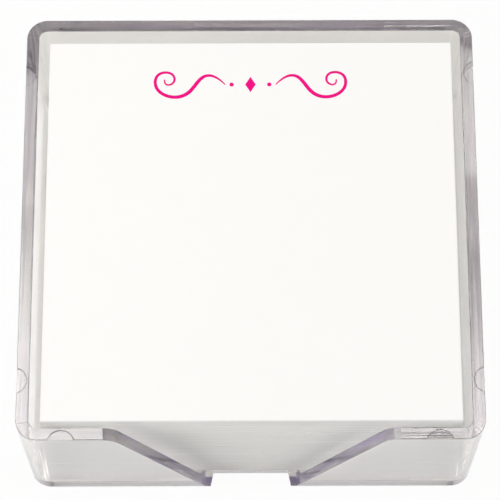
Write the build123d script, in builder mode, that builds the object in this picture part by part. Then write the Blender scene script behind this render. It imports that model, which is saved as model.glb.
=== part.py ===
from build123d import *
import os
from math import cos, radians, sin, tan

os.makedirs("parts", exist_ok=True)

# A clear moulded desk tray that holds a pad of loose square memo sheets.
# Millimetres and degrees. The origin is on the table under the middle of the tray,
# +Z is up and the finger notch is in the -Y wall.

# Memo sheets
sheet_side = 98.4
sheet_thickness = 0.1
sheet_air = 0.0015
sheet_count = 350
sheets_per_bundle = 10
sheet_stagger = 0.07
stagger_turn = 137.5
proud_levels = (119, 273)
proud_slip = 0.25
pad_forward = 0.8
pad_aside = 0.2

# Tray walls and floor
pad_play = 1.9
wall_foot = 2.5
floor_thickness = 2.4
rim_reveal = 0.3
outer_draft = 1.73
cavity_draft = 1.05
corner_radius = 5.0
cavity_corner_radius = 2.0
cavity_floor_round = 0.8
base_round = 0.8
rim_round = 0.15

# Finger notch in the front wall
notch_rim_width = 64.2
notch_foot_width = 22.2
notch_shoulder_radius = 5.0
toe_thickness = 1.0
toe_gap_front = 19.6
toe_gap_back = 18.2
floor_cutback = 1.05

# Witness marks of the ejector pins on the rim
pin_radius = 3.3
pin_depth = 0.06
pin_bevel = 0.2
pin_outset = 0.8
pin_spread = 40.0
pin_spread_front = 44.1

# Sizes that follow from the ones above
sheet_pitch = sheet_thickness + sheet_air
tray_height = floor_thickness + sheet_count * sheet_pitch + rim_reveal
cavity_floor_side = sheet_side + 2 * pad_play
base_side = cavity_floor_side + 2 * wall_foot
rim_half = base_side / 2 + tray_height * tan(radians(outer_draft))
floor_front = -cavity_floor_side / 2 + floor_cutback
overcut = 2 * wall_foot
notch_flare = (notch_rim_width - notch_foot_width) / 2 / (tray_height - toe_thickness)
notch_reach = notch_rim_width / 2 + notch_shoulder_radius
pin_line = rim_half + pin_outset


def sheet_place(level):
    """Centre of one loose sheet, which never lies quite square on the one below."""
    turn = radians(stagger_turn * level)
    aside = pad_aside + sheet_stagger * cos(turn)
    back = -pad_forward + sheet_stagger * sin(turn)
    if level in proud_levels:
        back -= proud_slip
    height = floor_thickness + sheet_air + level * sheet_pitch + sheet_thickness / 2
    return (aside, back, height)


# Hollow of the tray, opening upward with its own draft
with BuildPart() as cavity:
    with BuildSketch(Plane.XY.offset(floor_thickness)):
        Rectangle(cavity_floor_side, cavity_floor_side)
    extrude(amount=tray_height, taper=-cavity_draft)
    fillet(cavity.edges().group_by(Axis.Z)[1], cavity_corner_radius)
    fillet(cavity.faces().sort_by(Axis.Z)[0].edges(), cavity_floor_round)

# Finger notch: a V through the front wall that ends in a straight gap in the floor
with BuildPart() as notch:
    with BuildSketch(Plane.XZ.offset(-floor_front)):
        with BuildLine():
            top_half = notch_rim_width / 2 + overcut * notch_flare
            Polyline(
                (-notch_foot_width / 2, toe_thickness),
                (notch_foot_width / 2, toe_thickness),
                (top_half, tray_height + overcut),
                (-top_half, tray_height + overcut),
                close=True,
            )
        make_face()
    extrude(amount=rim_half + floor_front + overcut)
    with BuildSketch(Plane.XY.offset(-overcut)):
        with BuildLine():
            Polyline(
                (-toe_gap_back / 2, floor_front),
                (toe_gap_back / 2, floor_front),
                (toe_gap_front / 2, -base_side / 2),
                (toe_gap_front / 2, -rim_half - overcut),
                (-toe_gap_front / 2, -rim_half - overcut),
                (-toe_gap_front / 2, -base_side / 2),
                close=True,
            )
        make_face()
    extrude(amount=overcut + 2 * toe_thickness)

# Tray: one clear moulding with drafted walls
with BuildPart() as tray:
    with BuildSketch():
        Rectangle(base_side, base_side)
    extrude(amount=tray_height, taper=-outer_draft)
    fillet(tray.edges().group_by(Axis.Z)[1], corner_radius)
    fillet(tray.faces().sort_by(Axis.Z)[0].edges(), base_round)
    add(cavity.part, mode=Mode.SUBTRACT)
    add(notch.part, mode=Mode.SUBTRACT)

    # Rounded shoulders where the notch runs out into the rim
    rim_crossings = tray.edges().filter_by(Axis.Y).group_by(Axis.Z)[-1]
    shoulders = rim_crossings.filter_by_position(Axis.X, -notch_reach, notch_reach)
    fillet(shoulders, notch_shoulder_radius)

    # Rim edges broken by the polish of the mould, on down both sides of the notch
    rim_face = tray.faces().sort_by(Axis.Z)[-1]
    rim_crossings = rim_face.edges().filter_by(Axis.Y)
    seams = rim_crossings.filter_by_position(Axis.X, -notch_reach, notch_reach)
    fillet(rim_face.edges() - seams, rim_round)

    # Shallow bevelled dishes that the ejector pins left along the rim
    pins = [(side * pin_spread_front, -pin_line) for side in (-1, 1)]
    pins += [(side * pin_spread, pin_line) for side in (-1, 1)]
    pins += [(side * pin_line, end * pin_spread) for side in (-1, 1) for end in (-1, 1)]
    with Locations(*[(x, y, tray_height) for x, y in pins]):
        Cone(
            pin_radius - pin_bevel,
            pin_radius,
            pin_depth,
            align=(Align.CENTER, Align.CENTER, Align.MAX),
            mode=Mode.SUBTRACT,
        )

tray.part.label = "tray"
export_step(tray.part, "parts/tray.step")

# Pad of loose sheets, counted into bundles from the floor up
top_level = sheet_count - 1
for first in range(0, top_level, sheets_per_bundle):
    levels = range(first, min(first + sheets_per_bundle, top_level))
    with BuildPart() as bundle:
        with Locations(*[sheet_place(level) for level in levels]):
            Box(sheet_side, sheet_side, sheet_thickness)
    name = f"sheet_bundle_{first // sheets_per_bundle + 1:02d}"
    bundle.part.label = name
    export_step(bundle.part, f"parts/{name}.step")

# The sheet on top, next to be written on and taken away
with BuildPart() as top_sheet:
    with Locations(sheet_place(top_level)):
        Box(sheet_side, sheet_side, sheet_thickness)

top_sheet.part.label = "top_sheet"
export_step(top_sheet.part, "parts/top_sheet.step")
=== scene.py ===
from math import pi, radians

import bmesh
import bpy
from mathutils import Matrix, Vector


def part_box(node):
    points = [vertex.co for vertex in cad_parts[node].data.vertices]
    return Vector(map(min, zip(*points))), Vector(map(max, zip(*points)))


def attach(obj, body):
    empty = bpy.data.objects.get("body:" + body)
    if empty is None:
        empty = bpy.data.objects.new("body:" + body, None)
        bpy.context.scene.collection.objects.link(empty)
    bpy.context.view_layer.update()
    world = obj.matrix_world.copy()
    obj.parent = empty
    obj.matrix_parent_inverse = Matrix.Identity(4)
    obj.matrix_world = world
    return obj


# A clear desk tray that holds a pad of loose memo sheets. Metres, as in the frame: the origin is on the
# table under the middle of the tray, +Z is up and the finger notch faces -Y.
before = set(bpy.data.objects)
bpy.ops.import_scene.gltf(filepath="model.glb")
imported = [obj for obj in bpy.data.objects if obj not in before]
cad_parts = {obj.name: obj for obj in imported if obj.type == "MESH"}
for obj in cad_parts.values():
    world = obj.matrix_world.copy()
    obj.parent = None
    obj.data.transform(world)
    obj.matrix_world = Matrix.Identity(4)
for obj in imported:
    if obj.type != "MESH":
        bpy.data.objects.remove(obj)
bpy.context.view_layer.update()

# Tray
# One injection moulding of clear crystal polystyrene, with polished walls and ejector marks on its rim.
# Across a 3 mm wall the resin looks clear, and along a wall its blueing adds up to a violet grey.
# It stands on the table and carries the pad, which lies loose in it.
mm = 0.001
rim_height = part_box("tray")[1].z
rim_band = 0.2 * mm
foot_height = 0.1 * mm
pad_reach = 48.5 * mm
corner_centre, corner_radius = 49.75 * mm, 5.0 * mm
notch_reach = 38 * mm
toe_front, toe_reach = -51.25 * mm, 11.3 * mm
pin_line, pin_spread, pin_spread_front = 55.55 * mm, 40.0 * mm, 44.1 * mm
pin_edge, pin_edge_width = 3.2 * mm, 0.2 * mm

# Its finish and its painted shade: sizes of the patterns, heights between which they come in, and how strong
# they get
sink_width, sink_depth = 11 * mm, 0.022 * mm
flow_run, flow_width, flow_depth = 30 * mm, 0.8 * mm, 0.013 * mm
fan_width = 0.6 * mm
scuff_width, scuff_haze = 1.5 * mm, 0.02
foot_dullness, pad_dullness = 0.04, 0.3
streak_run, streak_width = 12 * mm, 1.1 * mm
rim_shade_strength = 0.7
deep_shade_top, deep_shade_foot = 18 * mm, 2 * mm
rub_foot, rub_top, rub_share = 8 * mm, 24 * mm, 0.3
shoulder_foot, shoulder_top, thumb_share = 32 * mm, 36 * mm, 0.36
rim_lean, dish_lean = -0.0335, -0.0055


def linear(hex_colour):
    """An sRGB hex colour as the linear RGBA that a shader's socket holds."""
    channels = [int(hex_colour[i:i + 2], 16) / 255 for i in (1, 3, 5)]
    return (*[c / 12.92 if c <= 0.04045 else ((c + 0.055) / 1.055) ** 2.4 for c in channels], 1.0)


def add_node(tree, kind, settings=None, links=None):
    """Adds a node. Settings name its sockets or else its own properties, and links name its sockets."""
    node = tree.nodes.new("ShaderNode" + kind)
    for name, value in (settings or {}).items():
        if isinstance(name, int) or name in node.inputs:
            node.inputs[name].default_value = value
        else:
            setattr(node, name, value)
    for name, source in (links or {}).items():
        tree.links.new(source, node.inputs[name])
    return node


def new_material(name):
    """A new material and its node tree, which is empty."""
    material = bpy.data.materials.new(name)
    material.use_nodes = True
    material.node_tree.nodes.clear()
    return material, material.node_tree


# Crystal polystyrene: clear and glossy. Shallow sinks and flow lines break what the rim mirrors into long
# streaks. Its colour holds painted shade: violet streaks along the rim and the sides of the notch, a deeper
# violet low in the notch, in the back corners and on the two toes, and a grey line at each ejector mark's
# step, where its bevel mirrors no lamp. The violet streaks are partly the resin's own tint and are drawn
# stronger than it, and the grey line wider, so that they show.
crystal_styrene, tree = new_material("crystal_styrene")

# Where a point is on the tray
spot = add_node(tree, "TexCoord")
place = add_node(tree, "SeparateXYZ", {}, {0: spot.outputs["Object"]})
aside = add_node(tree, "Math", {"operation": "ABSOLUTE"}, {0: place.outputs["X"]})
ahead = add_node(tree, "Math", {"operation": "ABSOLUTE"}, {0: place.outputs["Y"]})
on_side = add_node(tree, "Math", {"operation": "GREATER_THAN"}, {0: aside.outputs[0], 1: ahead.outputs[0]})
on_right = add_node(tree, "Math", {"operation": "GREATER_THAN", 1: 0.0}, {0: place.outputs["X"]})
in_front = add_node(tree, "Math", {"operation": "LESS_THAN", 1: 0.0}, {0: place.outputs["Y"]})
behind = add_node(tree, "Math", {"operation": "SUBTRACT", 0: 1.0}, {1: in_front.outputs[0]})
on_rim = add_node(
    tree, "Math", {"operation": "GREATER_THAN", 1: rim_height - rim_band}, {0: place.outputs["Z"]})
surface = add_node(tree, "NewGeometry")
facing = add_node(tree, "SeparateXYZ", {}, {0: surface.outputs["Normal"]})
aslant = add_node(tree, "Math", {"operation": "ABSOLUTE"}, {0: facing.outputs["X"]})

# Flow lines along each wall, fanned out round its corners, over wide and shallow sinks
along_side = add_node(
    tree, "Mapping", {"Scale": (1 / flow_width, 1 / flow_run, 1 / flow_run)},
    {"Vector": spot.outputs["Object"]})
along_front = add_node(
    tree, "Mapping", {"Scale": (1 / flow_run, 1 / flow_width, 1 / flow_run)},
    {"Vector": spot.outputs["Object"]})
straight = add_node(
    tree, "MixRGB", {},
    {"Fac": on_side.outputs[0], "Color1": along_front.outputs[0], "Color2": along_side.outputs[0]})
wall_flow = add_node(tree, "TexNoise", {"Scale": 1.0, "Detail": 2.0}, {"Vector": straight.outputs[0]})
past_side = add_node(tree, "Math", {"operation": "SUBTRACT", 1: corner_centre}, {0: aside.outputs[0]})
past_end = add_node(tree, "Math", {"operation": "SUBTRACT", 1: corner_centre}, {0: ahead.outputs[0]})
nearer = add_node(tree, "Math", {"operation": "MINIMUM"}, {0: past_side.outputs[0], 1: past_end.outputs[0]})
in_corner = add_node(
    tree, "MapRange", {"interpolation_type": "SMOOTHSTEP", "From Min": -fan_width, "From Max": fan_width},
    {"Value": nearer.outputs[0]})
bearing = add_node(tree, "Math", {"operation": "ARCTAN2"}, {0: past_end.outputs[0], 1: past_side.outputs[0]})
fan = add_node(tree, "Math", {"operation": "MULTIPLY", 1: corner_radius / fan_width}, {0: bearing.outputs[0]})
round_corner = add_node(tree, "CombineXYZ", {}, {"X": fan.outputs[0]})
corner_flow = add_node(tree, "TexNoise", {"Scale": 1.0, "Detail": 2.0}, {"Vector": round_corner.outputs[0]})
flow = add_node(
    tree, "MixRGB", {},
    {"Fac": in_corner.outputs[0], "Color1": wall_flow.outputs["Fac"], "Color2": corner_flow.outputs["Fac"]})
lines = add_node(tree, "Bump", {"Strength": 1.0, "Distance": flow_depth}, {"Height": flow.outputs[0]})
sinks = add_node(
    tree, "TexNoise", {"Scale": 1 / sink_width, "Detail": 1.0}, {"Vector": spot.outputs["Object"]})
waves = add_node(
    tree, "Bump", {"Strength": 1.0, "Distance": sink_depth},
    {"Height": sinks.outputs["Fac"], "Normal": lines.outputs["Normal"]})

# Scuffs: a breath of haze all over, and an underside dulled on desks, most where the pad's weight bears
scuffs = add_node(
    tree, "TexNoise", {"Scale": 1 / scuff_width, "Detail": 4.0}, {"Vector": spot.outputs["Object"]})
haze = add_node(
    tree, "MapRange", {"From Min": 0.5, "From Max": 0.8, "To Max": scuff_haze},
    {"Value": scuffs.outputs["Fac"]})
underneath = add_node(tree, "Math", {"operation": "LESS_THAN", 1: foot_height}, {0: place.outputs["Z"]})
off_centre = add_node(tree, "Math", {"operation": "MAXIMUM"}, {0: aside.outputs[0], 1: ahead.outputs[0]})
under_pad = add_node(tree, "Math", {"operation": "LESS_THAN", 1: pad_reach}, {0: off_centre.outputs[0]})
scuffed = add_node(
    tree, "Math", {"operation": "MULTIPLY_ADD", 1: pad_dullness, 2: foot_dullness}, {0: under_pad.outputs[0]})
dull = add_node(
    tree, "Math", {"operation": "MULTIPLY_ADD"},
    {0: underneath.outputs[0], 1: scuffed.outputs[0], 2: haze.outputs["Result"]})

# Ejector marks: the way to the nearest one, the dish inside it, and a grey line of painted shade at its step,
# where its bevel mirrors no lamp
folded = add_node(tree, "CombineXYZ", {}, {"X": aside.outputs[0], "Y": ahead.outputs[0]})
side_pin = add_node(
    tree, "VectorMath", {"operation": "DISTANCE", 1: (pin_line, pin_spread, 0)}, {0: folded.outputs[0]})
spread = add_node(
    tree, "Math", {"operation": "MULTIPLY_ADD", 1: pin_spread_front - pin_spread, 2: pin_spread},
    {0: in_front.outputs[0]})
end_place = add_node(tree, "CombineXYZ", {"Y": pin_line}, {"X": spread.outputs[0]})
end_pin = add_node(
    tree, "VectorMath", {"operation": "DISTANCE"}, {0: folded.outputs[0], 1: end_place.outputs[0]})
pin = add_node(
    tree, "Math", {"operation": "MINIMUM"}, {0: side_pin.outputs["Value"], 1: end_pin.outputs["Value"]})
in_dish = add_node(tree, "Math", {"operation": "LESS_THAN", 1: pin_edge}, {0: pin.outputs[0]})
step = add_node(
    tree, "Math", {"operation": "COMPARE", 1: pin_edge, 2: pin_edge_width / 2}, {0: pin.outputs[0]})
# Painted shade: a grey line at the step of each ejector mark on the rim
step_shade_ring = add_node(tree, "Math", {"operation": "MULTIPLY"}, {0: step.outputs[0], 1: on_rim.outputs[0]})

# Painted shade in violet: streaks along the sides of the notch, filling in towards their foot, and along the
# rim
sloping = add_node(tree, "MapRange", {"From Min": 0.3, "From Max": 0.7}, {"Value": aslant.outputs[0]})
in_notch = add_node(tree, "Math", {"operation": "LESS_THAN", 1: notch_reach}, {0: aside.outputs[0]})
on_cheek = add_node(tree, "Math", {"operation": "MULTIPLY"}, {0: sloping.outputs[0], 1: in_notch.outputs[0]})
along_cheek = add_node(
    tree, "Mapping", {"Scale": (1 / streak_run, 1 / streak_width, 1 / streak_run)},
    {"Vector": spot.outputs["Object"]})
streaks = add_node(tree, "TexNoise", {"Scale": 1.0, "Detail": 2.0}, {"Vector": along_cheek.outputs[0]})
sharp_streaks = add_node(
    tree, "MapRange", {"From Min": 0.4, "From Max": 0.6}, {"Value": streaks.outputs["Fac"]})
low_down = add_node(
    tree, "MapRange", {"From Min": deep_shade_top, "From Max": deep_shade_foot}, {"Value": place.outputs["Z"]})
streaks_or_low = add_node(
    tree, "Math", {"operation": "MAXIMUM"}, {0: sharp_streaks.outputs[0], 1: low_down.outputs[0]})
# Painted shade: violet streaks on the sides of the notch, filling in towards their foot
cheek_shade_streaks = add_node(
    tree, "Math", {"operation": "MULTIPLY"}, {0: on_cheek.outputs[0], 1: streaks_or_low.outputs[0]})
# Painted shade: violet streaks along the rim, following its flow lines
rim_streaks = add_node(
    tree, "MapRange", {"From Min": 0.48, "From Max": 0.62, "To Max": rim_shade_strength},
    {"Value": flow.outputs[0]})
rim_shade_streaks = add_node(
    tree, "Math", {"operation": "MULTIPLY"}, {0: on_rim.outputs[0], 1: rim_streaks.outputs[0]})
violet_shade_mask = add_node(tree, "Math", {"operation": "MAXIMUM"}, {0: cheek_shade_streaks.outputs[0], 1: rim_shade_streaks.outputs[0]})

# Its painted shade: a deeper violet low in the notch and in the back corners, a violet grey on the two toes,
# and the grey line at each ejector mark's step
# Painted shade: a deeper violet in the back corners and low in the notch
back_corner = add_node(
    tree, "Math", {"operation": "MULTIPLY"}, {0: in_corner.outputs[0], 1: behind.outputs[0]})
deeper_shade = add_node(tree, "Math", {"operation": "MAXIMUM"}, {0: low_down.outputs[0], 1: back_corner.outputs[0]})
violet_shades = add_node(
    tree, "MixRGB", {"Color1": linear("#C4BADE"), "Color2": linear("#8F84AC")}, {"Fac": deeper_shade.outputs[0]})
tinted = add_node(
    tree, "MixRGB", {"Color1": linear("#FFFFFF")}, {"Fac": violet_shade_mask.outputs[0], "Color2": violet_shades.outputs[0]})
foremost = add_node(tree, "Math", {"operation": "LESS_THAN", 1: toe_front}, {0: place.outputs["Y"]})
by_gap = add_node(tree, "Math", {"operation": "LESS_THAN", 1: toe_reach}, {0: aside.outputs[0]})
level = add_node(tree, "Math", {"operation": "GREATER_THAN", 1: 0.5}, {0: facing.outputs["Z"]})
toe_end = add_node(tree, "Math", {"operation": "MULTIPLY"}, {0: foremost.outputs[0], 1: by_gap.outputs[0]})
on_toe = add_node(tree, "Math", {"operation": "MULTIPLY"}, {0: toe_end.outputs[0], 1: level.outputs[0]})
# Painted shade: the tops of the two toes are a violet grey
toe_shaded = add_node(
    tree, "MixRGB", {"Color2": linear("#A296B9")}, {"Fac": on_toe.outputs[0], "Color1": tinted.outputs[0]})
# The grey of the painted shade at the ejector marks' steps
with_step_shade = add_node(
    tree, "MixRGB", {"Color2": linear("#AAA6AC")}, {"Fac": step_shade_ring.outputs[0], "Color1": toe_shaded.outputs[0]})

# Wear: fingers dull the sides of the notch towards the rim, and the crest of the right shoulder most
rubbed = add_node(
    tree, "MapRange", {"From Min": rub_foot, "From Max": rub_top, "To Max": rub_share},
    {"Value": place.outputs["Z"]})
worn = add_node(tree, "Math", {"operation": "MULTIPLY"}, {0: rubbed.outputs[0], 1: cheek_shade_streaks.outputs[0]})
turned = add_node(
    tree, "MapRange", {"From Min": 0.0, "From Max": 0.05, "To Max": thumb_share},
    {"Value": aslant.outputs[0]})
not_steep = add_node(tree, "MapRange", {"From Min": 0.55, "From Max": 0.25}, {"Value": aslant.outputs[0]})
crest = add_node(tree, "Math", {"operation": "MULTIPLY"}, {0: turned.outputs[0], 1: not_steep.outputs[0]})
high_up = add_node(
    tree, "MapRange", {"From Min": shoulder_foot, "From Max": shoulder_top}, {"Value": place.outputs["Z"]})
on_shoulder = add_node(tree, "Math", {"operation": "MULTIPLY"}, {0: crest.outputs[0], 1: high_up.outputs[0]})
right_notch = add_node(
    tree, "Math", {"operation": "MULTIPLY"}, {0: in_notch.outputs[0], 1: on_right.outputs[0]})
thumbed = add_node(
    tree, "Math", {"operation": "MULTIPLY"}, {0: on_shoulder.outputs[0], 1: right_notch.outputs[0]})
handled = add_node(tree, "Math", {"operation": "MAXIMUM"}, {0: worn.outputs[0], 1: thumbed.outputs[0]})
clear = add_node(tree, "Math", {"operation": "SUBTRACT", 0: 1.0}, {1: handled.outputs[0]})

# A slight warp of the front rim's right end: its gloss leans forward, and a little more in the dish
front_right = add_node(
    tree, "Math", {"operation": "MULTIPLY"}, {0: in_front.outputs[0], 1: on_right.outputs[0]})
off_side = add_node(tree, "Math", {"operation": "SUBTRACT", 0: 1.0}, {1: on_side.outputs[0]})
front_end = add_node(
    tree, "Math", {"operation": "MULTIPLY"}, {0: front_right.outputs[0], 1: off_side.outputs[0]})
leaning = add_node(tree, "Math", {"operation": "MULTIPLY"}, {0: front_end.outputs[0], 1: on_rim.outputs[0]})
slope = add_node(
    tree, "Math", {"operation": "MULTIPLY_ADD", 1: dish_lean, 2: rim_lean}, {0: in_dish.outputs[0]})
lean = add_node(tree, "Math", {"operation": "MULTIPLY"}, {0: leaning.outputs[0], 1: slope.outputs[0]})
forward = add_node(tree, "CombineXYZ", {}, {"Y": lean.outputs[0]})
leant = add_node(
    tree, "VectorMath", {"operation": "ADD"}, {0: waves.outputs["Normal"], 1: forward.outputs[0]})
upright = add_node(tree, "VectorMath", {"operation": "NORMALIZE"}, {0: leant.outputs[0]})

resin = add_node(
    tree, "BsdfPrincipled", {"IOR": 1.59},
    {"Base Color": with_step_shade.outputs[0], "Roughness": dull.outputs[0], "Normal": upright.outputs[0],
     "Transmission Weight": clear.outputs[0]})
blueing = add_node(tree, "VolumeAbsorption", {"Color": linear("#BCB3B9"), "Density": 27.0})
add_node(tree, "OutputMaterial", {}, {"Surface": resin.outputs["BSDF"], "Volume": blueing.outputs["Volume"]})
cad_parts["tray"].material_slots[0].material = crystal_styrene

# Sheets
# Squares of white offset paper, cut through a thick pile by one guillotine stroke and dropped loose into
# the tray. The cut leaves faint lines along the edges, where a few sheets catch more light than the rest.
cut_run = 45 * mm
cut_line = 0.7 * mm
slip_line = 0.9 * mm
cloud_width = 5 * mm
tooth_width = 0.5 * mm
tooth_depth = 0.004 * mm

# Offset paper: matt, a shade off white, with a cloudy look and a felt tooth on its faces. Its cut edges are
# painted darker than its faces, as painted shade for the fine gaps between the sheets, in lighter and darker
# cut lines, and the rare light lines on them are painted highlights where a sheet catches more light. The
# tooth is drawn at about twice its real width, and the cut lines stand for several sheets each, so that they
# show.
offset_paper, tree = new_material("offset_paper")
spot = add_node(tree, "TexCoord")
surface = add_node(tree, "NewGeometry")
facing = add_node(tree, "SeparateXYZ", {}, {0: surface.outputs["Normal"]})
tilt = add_node(tree, "Math", {"operation": "ABSOLUTE"}, {0: facing.outputs["Z"]})
on_face = add_node(tree, "Math", {"operation": "GREATER_THAN", 1: 0.5}, {0: tilt.outputs[0]})
clouds = add_node(
    tree, "TexNoise", {"Scale": 1 / cloud_width, "Detail": 3.0}, {"Vector": spot.outputs["Object"]})
face_colour = add_node(
    tree, "MixRGB", {"Color1": linear("#FAF9F7"), "Color2": linear("#FCFBF9")},
    {"Fac": clouds.outputs["Fac"]})
along_cut = add_node(
    tree, "Mapping", {"Scale": (1 / cut_run, 1 / cut_run, 1 / cut_line)}, {"Vector": spot.outputs["Object"]})
cuts = add_node(
    tree, "TexNoise", {"Scale": 1.0, "Detail": 2.0, "Roughness": 0.7}, {"Vector": along_cut.outputs[0]})
sharp_cuts = add_node(tree, "MapRange", {"From Min": 0.3, "From Max": 0.7}, {"Value": cuts.outputs["Fac"]})
# Painted shade: the cut edges are darker than the faces, in lighter and darker cut lines
shaded_cut_lines = add_node(
    tree, "MixRGB", {"Color1": linear("#D8D8D9"), "Color2": linear("#E6E6E7")},
    {"Fac": sharp_cuts.outputs[0]})
slips = add_node(
    tree, "Mapping", {"Scale": (1 / cut_run, 1 / cut_run, 1 / slip_line)}, {"Vector": spot.outputs["Object"]})
proud = add_node(tree, "TexNoise", {"Scale": 1.0, "Detail": 0.0}, {"Vector": slips.outputs[0]})
# Painted highlights: rare light lines where a sheet catches more light
highlight_lines = add_node(tree, "MapRange", {"From Min": 0.64, "From Max": 0.82}, {"Value": proud.outputs["Fac"]})
edge_shade_and_highlights = add_node(
    tree, "MixRGB", {"Color2": linear("#F4F4F4")}, {"Fac": highlight_lines.outputs[0], "Color1": shaded_cut_lines.outputs[0]})
colour = add_node(
    tree, "MixRGB", {},
    {"Fac": on_face.outputs[0], "Color1": edge_shade_and_highlights.outputs[0], "Color2": face_colour.outputs[0]})
tooth = add_node(
    tree, "TexNoise", {"Scale": 1 / tooth_width, "Detail": 3.0}, {"Vector": spot.outputs["Object"]})
felt = add_node(tree, "Bump", {"Strength": 0.6, "Distance": tooth_depth}, {"Height": tooth.outputs["Fac"]})
paper = add_node(
    tree, "BsdfPrincipled", {"Roughness": 0.85, "IOR": 1.5, "Specular IOR Level": 0.25},
    {"Base Color": colour.outputs[0], "Normal": felt.outputs["Normal"]})
add_node(tree, "OutputMaterial", {}, {"Surface": paper.outputs["BSDF"]})
for name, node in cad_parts.items():
    if name != "tray":
        node.material_slots[0].material = offset_paper

# Printed heading
# A plain scroll flourish in magenta offset ink at the head of every sheet. The film lies on the paper,
# and the sheet under the top one carries its own, thin enough to lie between the two.
ink_width = 0.9 * mm
ink_depth_top, ink_depth_next = 0.01 * mm, 0.001 * mm
mottle_width = 0.4 * mm
heading_drop = 11.3 * mm
lozenge_width, lozenge_height = 2.6 * mm, 4.2 * mm
bead_place, bead_width = 4.6 * mm, 1.1 * mm
# Its right half in mm, from the lozenge out: how far right, how far up, and the stroke's share of its width
scroll = (
    (6.2, 0.0, 0.3), (8.5, 2.6, 0.7), (12.0, 3.2, 1.0), (14.5, -2.6, 1.1), (19.0, -4.0, 1.0),
    (23.6, -1.6, 0.9), (23.4, 3.4, 0.8), (18.6, 3.6, 0.7), (18.2, -0.2, 0.6), (21.2, -0.4, 0.5),
    (21.0, 1.4, 0.4),
)

# Offset ink: a thin, satin film that lets a little of the paper's cloudiness through.
magenta_ink, tree = new_material("magenta_ink")
spot = add_node(tree, "TexCoord")
mottle = add_node(
    tree, "TexNoise", {"Scale": 1 / mottle_width, "Detail": 2.0}, {"Vector": spot.outputs["Object"]})
colour = add_node(
    tree, "MixRGB", {"Color1": linear("#EC0080"), "Color2": linear("#F60A8C")},
    {"Fac": mottle.outputs["Fac"]})
film = add_node(
    tree, "BsdfPrincipled", {"Roughness": 0.6, "IOR": 1.5, "Specular IOR Level": 0.1},
    {"Base Color": colour.outputs[0]})
add_node(tree, "OutputMaterial", {}, {"Surface": film.outputs["BSDF"]})


def print_heading(name, sheet, body, ink_depth):
    """One printed heading, a film of ink on the upper face of that node's highest sheet."""
    line = bpy.data.curves.new(name, "CURVE")
    line.dimensions = "3D"
    line.bevel_depth = ink_width / 2
    line.bevel_resolution = 3
    line.use_fill_caps = True
    stroke = line.splines.new("NURBS")
    stroke.points.add(len(scroll) - 1)
    for point, (right, up, share) in zip(stroke.points, scroll):
        point.co = (right * mm, up * mm, 0, 1)
        point.radius = share
    stroke.order_u = 4
    stroke.use_endpoint_u = True
    stroke.resolution_u = 10
    pen = bpy.data.objects.new(name, line)
    outline = bpy.data.meshes.new_from_object(pen)
    shape = bmesh.new()
    shape.from_mesh(outline)
    bpy.data.objects.remove(pen)
    bpy.data.curves.remove(line)
    bead = bmesh.ops.create_cone(
        shape, cap_ends=True, segments=24, radius1=bead_width / 2, radius2=bead_width / 2, depth=ink_width)
    bmesh.ops.translate(shape, verts=bead["verts"], vec=(bead_place, 0, 0))
    bmesh.ops.mirror(shape, geom=shape.verts[:] + shape.edges[:] + shape.faces[:], axis="X")
    lozenge = bmesh.ops.create_cone(
        shape, cap_ends=True, segments=4, radius1=lozenge_width / 2, radius2=lozenge_width / 2,
        depth=ink_width)
    bmesh.ops.scale(shape, verts=lozenge["verts"], vec=(1, lozenge_height / lozenge_width, 1))
    low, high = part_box(sheet)
    head = ((low.x + high.x) / 2, high.y - heading_drop, high.z + ink_depth / 2)
    bmesh.ops.scale(shape, verts=shape.verts, vec=(1, 1, ink_depth / ink_width))
    bmesh.ops.translate(shape, verts=shape.verts, vec=head)
    bmesh.ops.recalc_face_normals(shape, faces=shape.faces)
    shape.to_mesh(outline)
    shape.free()
    outline.materials.clear()
    outline.materials.append(magenta_ink)
    heading = bpy.data.objects.new(name, outline)
    bpy.context.scene.collection.objects.link(heading)
    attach(heading, body)


sheets = sorted(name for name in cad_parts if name.startswith("sheet_bundle"))
print_heading("heading_top", "top_sheet", "top_sheet", ink_depth_top)
print_heading("heading_next", sheets[-1], "pad", ink_depth_next)

# Studio
# A white table in white surroundings. A graded softbox overhead, a strip and two small cards behind it are
# what the rim mirrors, and one softbox at each side lights the walls and the pad, the left one brighter.
floor_gap = 0.03 * mm
sweep_reach = 3.0
plain_share = 0.95
through_share, painted_glow_share = 0.1, 0.8
surroundings_strength = 0.33
warm_white = "#FFFEF8"
feather = 0.15

# Table board: matt white, and almost plain white where it is seen or mirrored. Through the tray it shows
# its shade, except under the pad, where it glows white as painted light for the light that the clear walls
# lead in.
studio_floor, tree = new_material("studio_floor")
ray = add_node(tree, "LightPath")
mirrored = add_node(
    tree, "Math", {"operation": "SUBTRACT", "use_clamp": True},
    {0: ray.outputs["Is Glossy Ray"], 1: ray.outputs["Is Transmission Ray"]})
plain = add_node(
    tree, "Math", {"operation": "ADD"}, {0: ray.outputs["Is Camera Ray"], 1: mirrored.outputs[0]})
table_spot = add_node(tree, "TexCoord")
table_place = add_node(tree, "SeparateXYZ", {}, {0: table_spot.outputs["Object"]})
table_aside = add_node(tree, "Math", {"operation": "ABSOLUTE"}, {0: table_place.outputs["X"]})
table_ahead = add_node(tree, "Math", {"operation": "ABSOLUTE"}, {0: table_place.outputs["Y"]})
from_tray = add_node(
    tree, "Math", {"operation": "MAXIMUM"}, {0: table_aside.outputs[0], 1: table_ahead.outputs[0]})
below_pad = add_node(tree, "Math", {"operation": "LESS_THAN", 1: pad_reach}, {0: from_tray.outputs[0]})
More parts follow.
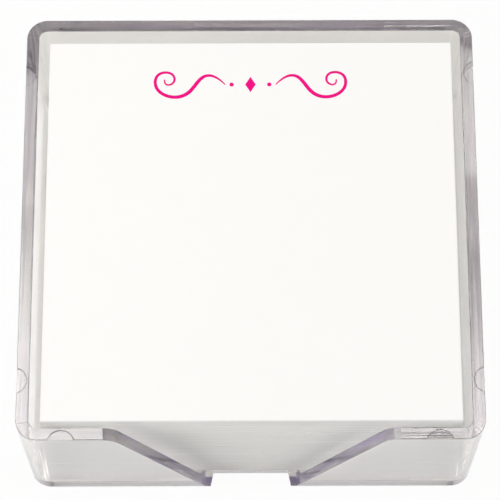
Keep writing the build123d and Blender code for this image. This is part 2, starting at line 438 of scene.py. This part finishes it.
# Painted light: under the pad the board glows white where it is seen through the tray
painted_glow_under_pad = add_node(
    tree, "Math", {"operation": "MULTIPLY_ADD", 1: painted_glow_share, 2: through_share}, {0: below_pad.outputs[0]})
through = add_node(
    tree, "Math", {"operation": "MULTIPLY"}, {0: ray.outputs["Is Transmission Ray"], 1: painted_glow_under_pad.outputs[0]})
table_share = add_node(
    tree, "Math", {"operation": "MULTIPLY_ADD", 1: plain_share}, {0: plain.outputs[0], 2: through.outputs[0]})
matt = add_node(tree, "BsdfDiffuse", {"Color": linear("#E9E7E1")})
white = add_node(tree, "Emission", {"Color": linear("#FFFFFF"), "Strength": 1.0})
sweep = add_node(tree, "MixShader", {}, {0: table_share.outputs[0], 1: matt.outputs[0], 2: white.outputs[0]})
add_node(tree, "OutputMaterial", {}, {"Surface": sweep.outputs[0]})
ground = bmesh.new()
bmesh.ops.create_grid(ground, x_segments=1, y_segments=1, size=sweep_reach)
bmesh.ops.translate(ground, verts=ground.verts, vec=(0, 0, -floor_gap))
floor_mesh = bpy.data.meshes.new("floor")
ground.to_mesh(floor_mesh)
ground.free()
floor_mesh.materials.append(studio_floor)
floor = bpy.data.objects.new("floor", floor_mesh)
bpy.context.scene.collection.objects.link(floor)

# Surroundings: white where they are seen, mirrored or seen through the tray, and dimmer as a light
world = bpy.data.worlds.new("studio")
world.use_nodes = True
tree = world.node_tree
tree.nodes.clear()
ray = add_node(tree, "LightPath")
clear_ray = add_node(
    tree, "Math", {"operation": "MAXIMUM"},
    {0: ray.outputs["Is Glossy Ray"], 1: ray.outputs["Is Transmission Ray"]})
seen = add_node(
    tree, "Math", {"operation": "MAXIMUM"}, {0: ray.outputs["Is Camera Ray"], 1: clear_ray.outputs[0]})
direct = add_node(tree, "Math", {"operation": "LESS_THAN", 1: 0.5}, {0: ray.outputs["Diffuse Depth"]})
wall_share = add_node(tree, "Math", {"operation": "MULTIPLY"}, {0: seen.outputs[0], 1: direct.outputs[0]})
dim = add_node(tree, "Background", {"Color": linear("#FFFFFF"), "Strength": surroundings_strength})
bright = add_node(tree, "Background", {"Color": linear("#FFFFFF"), "Strength": 1.0})
walls = add_node(tree, "MixShader", {}, {0: wall_share.outputs[0], 1: dim.outputs[0], 2: bright.outputs[0]})
add_node(tree, "OutputWorld", {}, {"Surface": walls.outputs[0]})
bpy.context.scene.world = world


def softbox(name, place, width, length, radiance, fade, turn=0, aim=None, tint=warm_white):
    """A rectangular lamp that hangs straight down, or looks where it is aimed. It fades out at its far
    end over that share of its length, and at its near end over the feather."""
    lamp = bpy.data.lights.new(name, "AREA")
    lamp.shape = "RECTANGLE"
    lamp.size = width
    lamp.size_y = length
    lamp.energy = radiance * pi * width * length
    lamp.use_nodes = True
    lamp.node_tree.nodes.clear()
    panel = add_node(lamp.node_tree, "NewGeometry")
    across = add_node(lamp.node_tree, "SeparateXYZ", {}, {0: panel.outputs["Parametric"]})
    far_end = add_node(
        lamp.node_tree, "MapRange",
        {"interpolation_type": "SMOOTHSTEP", "From Min": 1.0, "From Max": 1.0 - fade},
        {"Value": across.outputs["Y"]})
    near_end = add_node(
        lamp.node_tree, "MapRange",
        {"interpolation_type": "SMOOTHSTEP", "From Min": 0.0, "From Max": feather},
        {"Value": across.outputs["Y"]})
    graded = add_node(
        lamp.node_tree, "Math", {"operation": "MULTIPLY"}, {0: far_end.outputs[0], 1: near_end.outputs[0]})
    glow = add_node(lamp.node_tree, "Emission", {"Color": linear(tint)}, {"Strength": graded.outputs[0]})
    add_node(lamp.node_tree, "OutputLight", {}, {"Surface": glow.outputs[0]})
    holder = bpy.data.objects.new(name, lamp)
    if aim is None:
        aim = (place[0], place[1], 0.0)
    towards = (Vector(aim) - Vector(place)).to_track_quat("-Z", "Y").to_matrix().to_4x4()
    holder.matrix_world = Matrix.Translation(place) @ towards @ Matrix.Rotation(radians(turn), 4, "Z")
    holder.visible_camera = False
    bpy.context.scene.collection.objects.link(holder)


softbox("overhead", (-0.02, 0.385, 1.1), 0.44, 0.27, radiance=8.9, fade=0.74, turn=-14)
softbox("strip", (0.0, 0.505, 1.12), 0.44, 0.08, radiance=1.9, fade=0.5, turn=-6)
softbox("left", (-1.2, -0.17, 0.45), 0.7, 0.7, radiance=12.2, fade=0.1, aim=(0, 0, 0), tint="#FFFFFF")
softbox("right", (1.15, -0.22, 0.7), 0.9, 0.9, radiance=3.9, fade=0.1, aim=(0, 0, 0), tint="#FFFFFF")
softbox("right card", (0.147, 0.532, 1.08), 0.12, 0.107, radiance=5.3, fade=0.18, turn=180)
softbox("left card", (-0.147, 0.529, 1.08), 0.12, 0.077, radiance=3.3, fade=0.7, turn=180)

# Camera: high in front of the notch, where the photograph was taken from, with a slight roll
eye = Vector((-0.04, -273.1, 662.4)) * mm
target = Vector((-0.04, -6.97, 38.225)) * mm
camera_roll = -0.16
lens = bpy.data.cameras.new("camera")
lens.sensor_width = 36.0
lens.lens = 204.9
lens.clip_start = 0.01
camera = bpy.data.objects.new("camera", lens)
level_view = (target - eye).to_track_quat("-Z", "Y").to_matrix().to_4x4()
camera.matrix_world = Matrix.Translation(eye) @ level_view @ Matrix.Rotation(radians(camera_roll), 4, "Z")
bpy.context.scene.collection.objects.link(camera)
bpy.context.scene.camera = camera

# The walls lead light along by many inner reflections, and the pad is lit through them.
bpy.context.scene.view_settings.view_transform = "Standard"
inner_reflections = 64
bpy.context.scene.cycles.max_bounces = inner_reflections
bpy.context.scene.cycles.transmission_bounces = inner_reflections
bpy.context.scene.cycles.glossy_bounces = inner_reflections
bpy.context.scene.cycles.diffuse_bounces = 8
bpy.context.scene.cycles.blur_glossy = 0.0
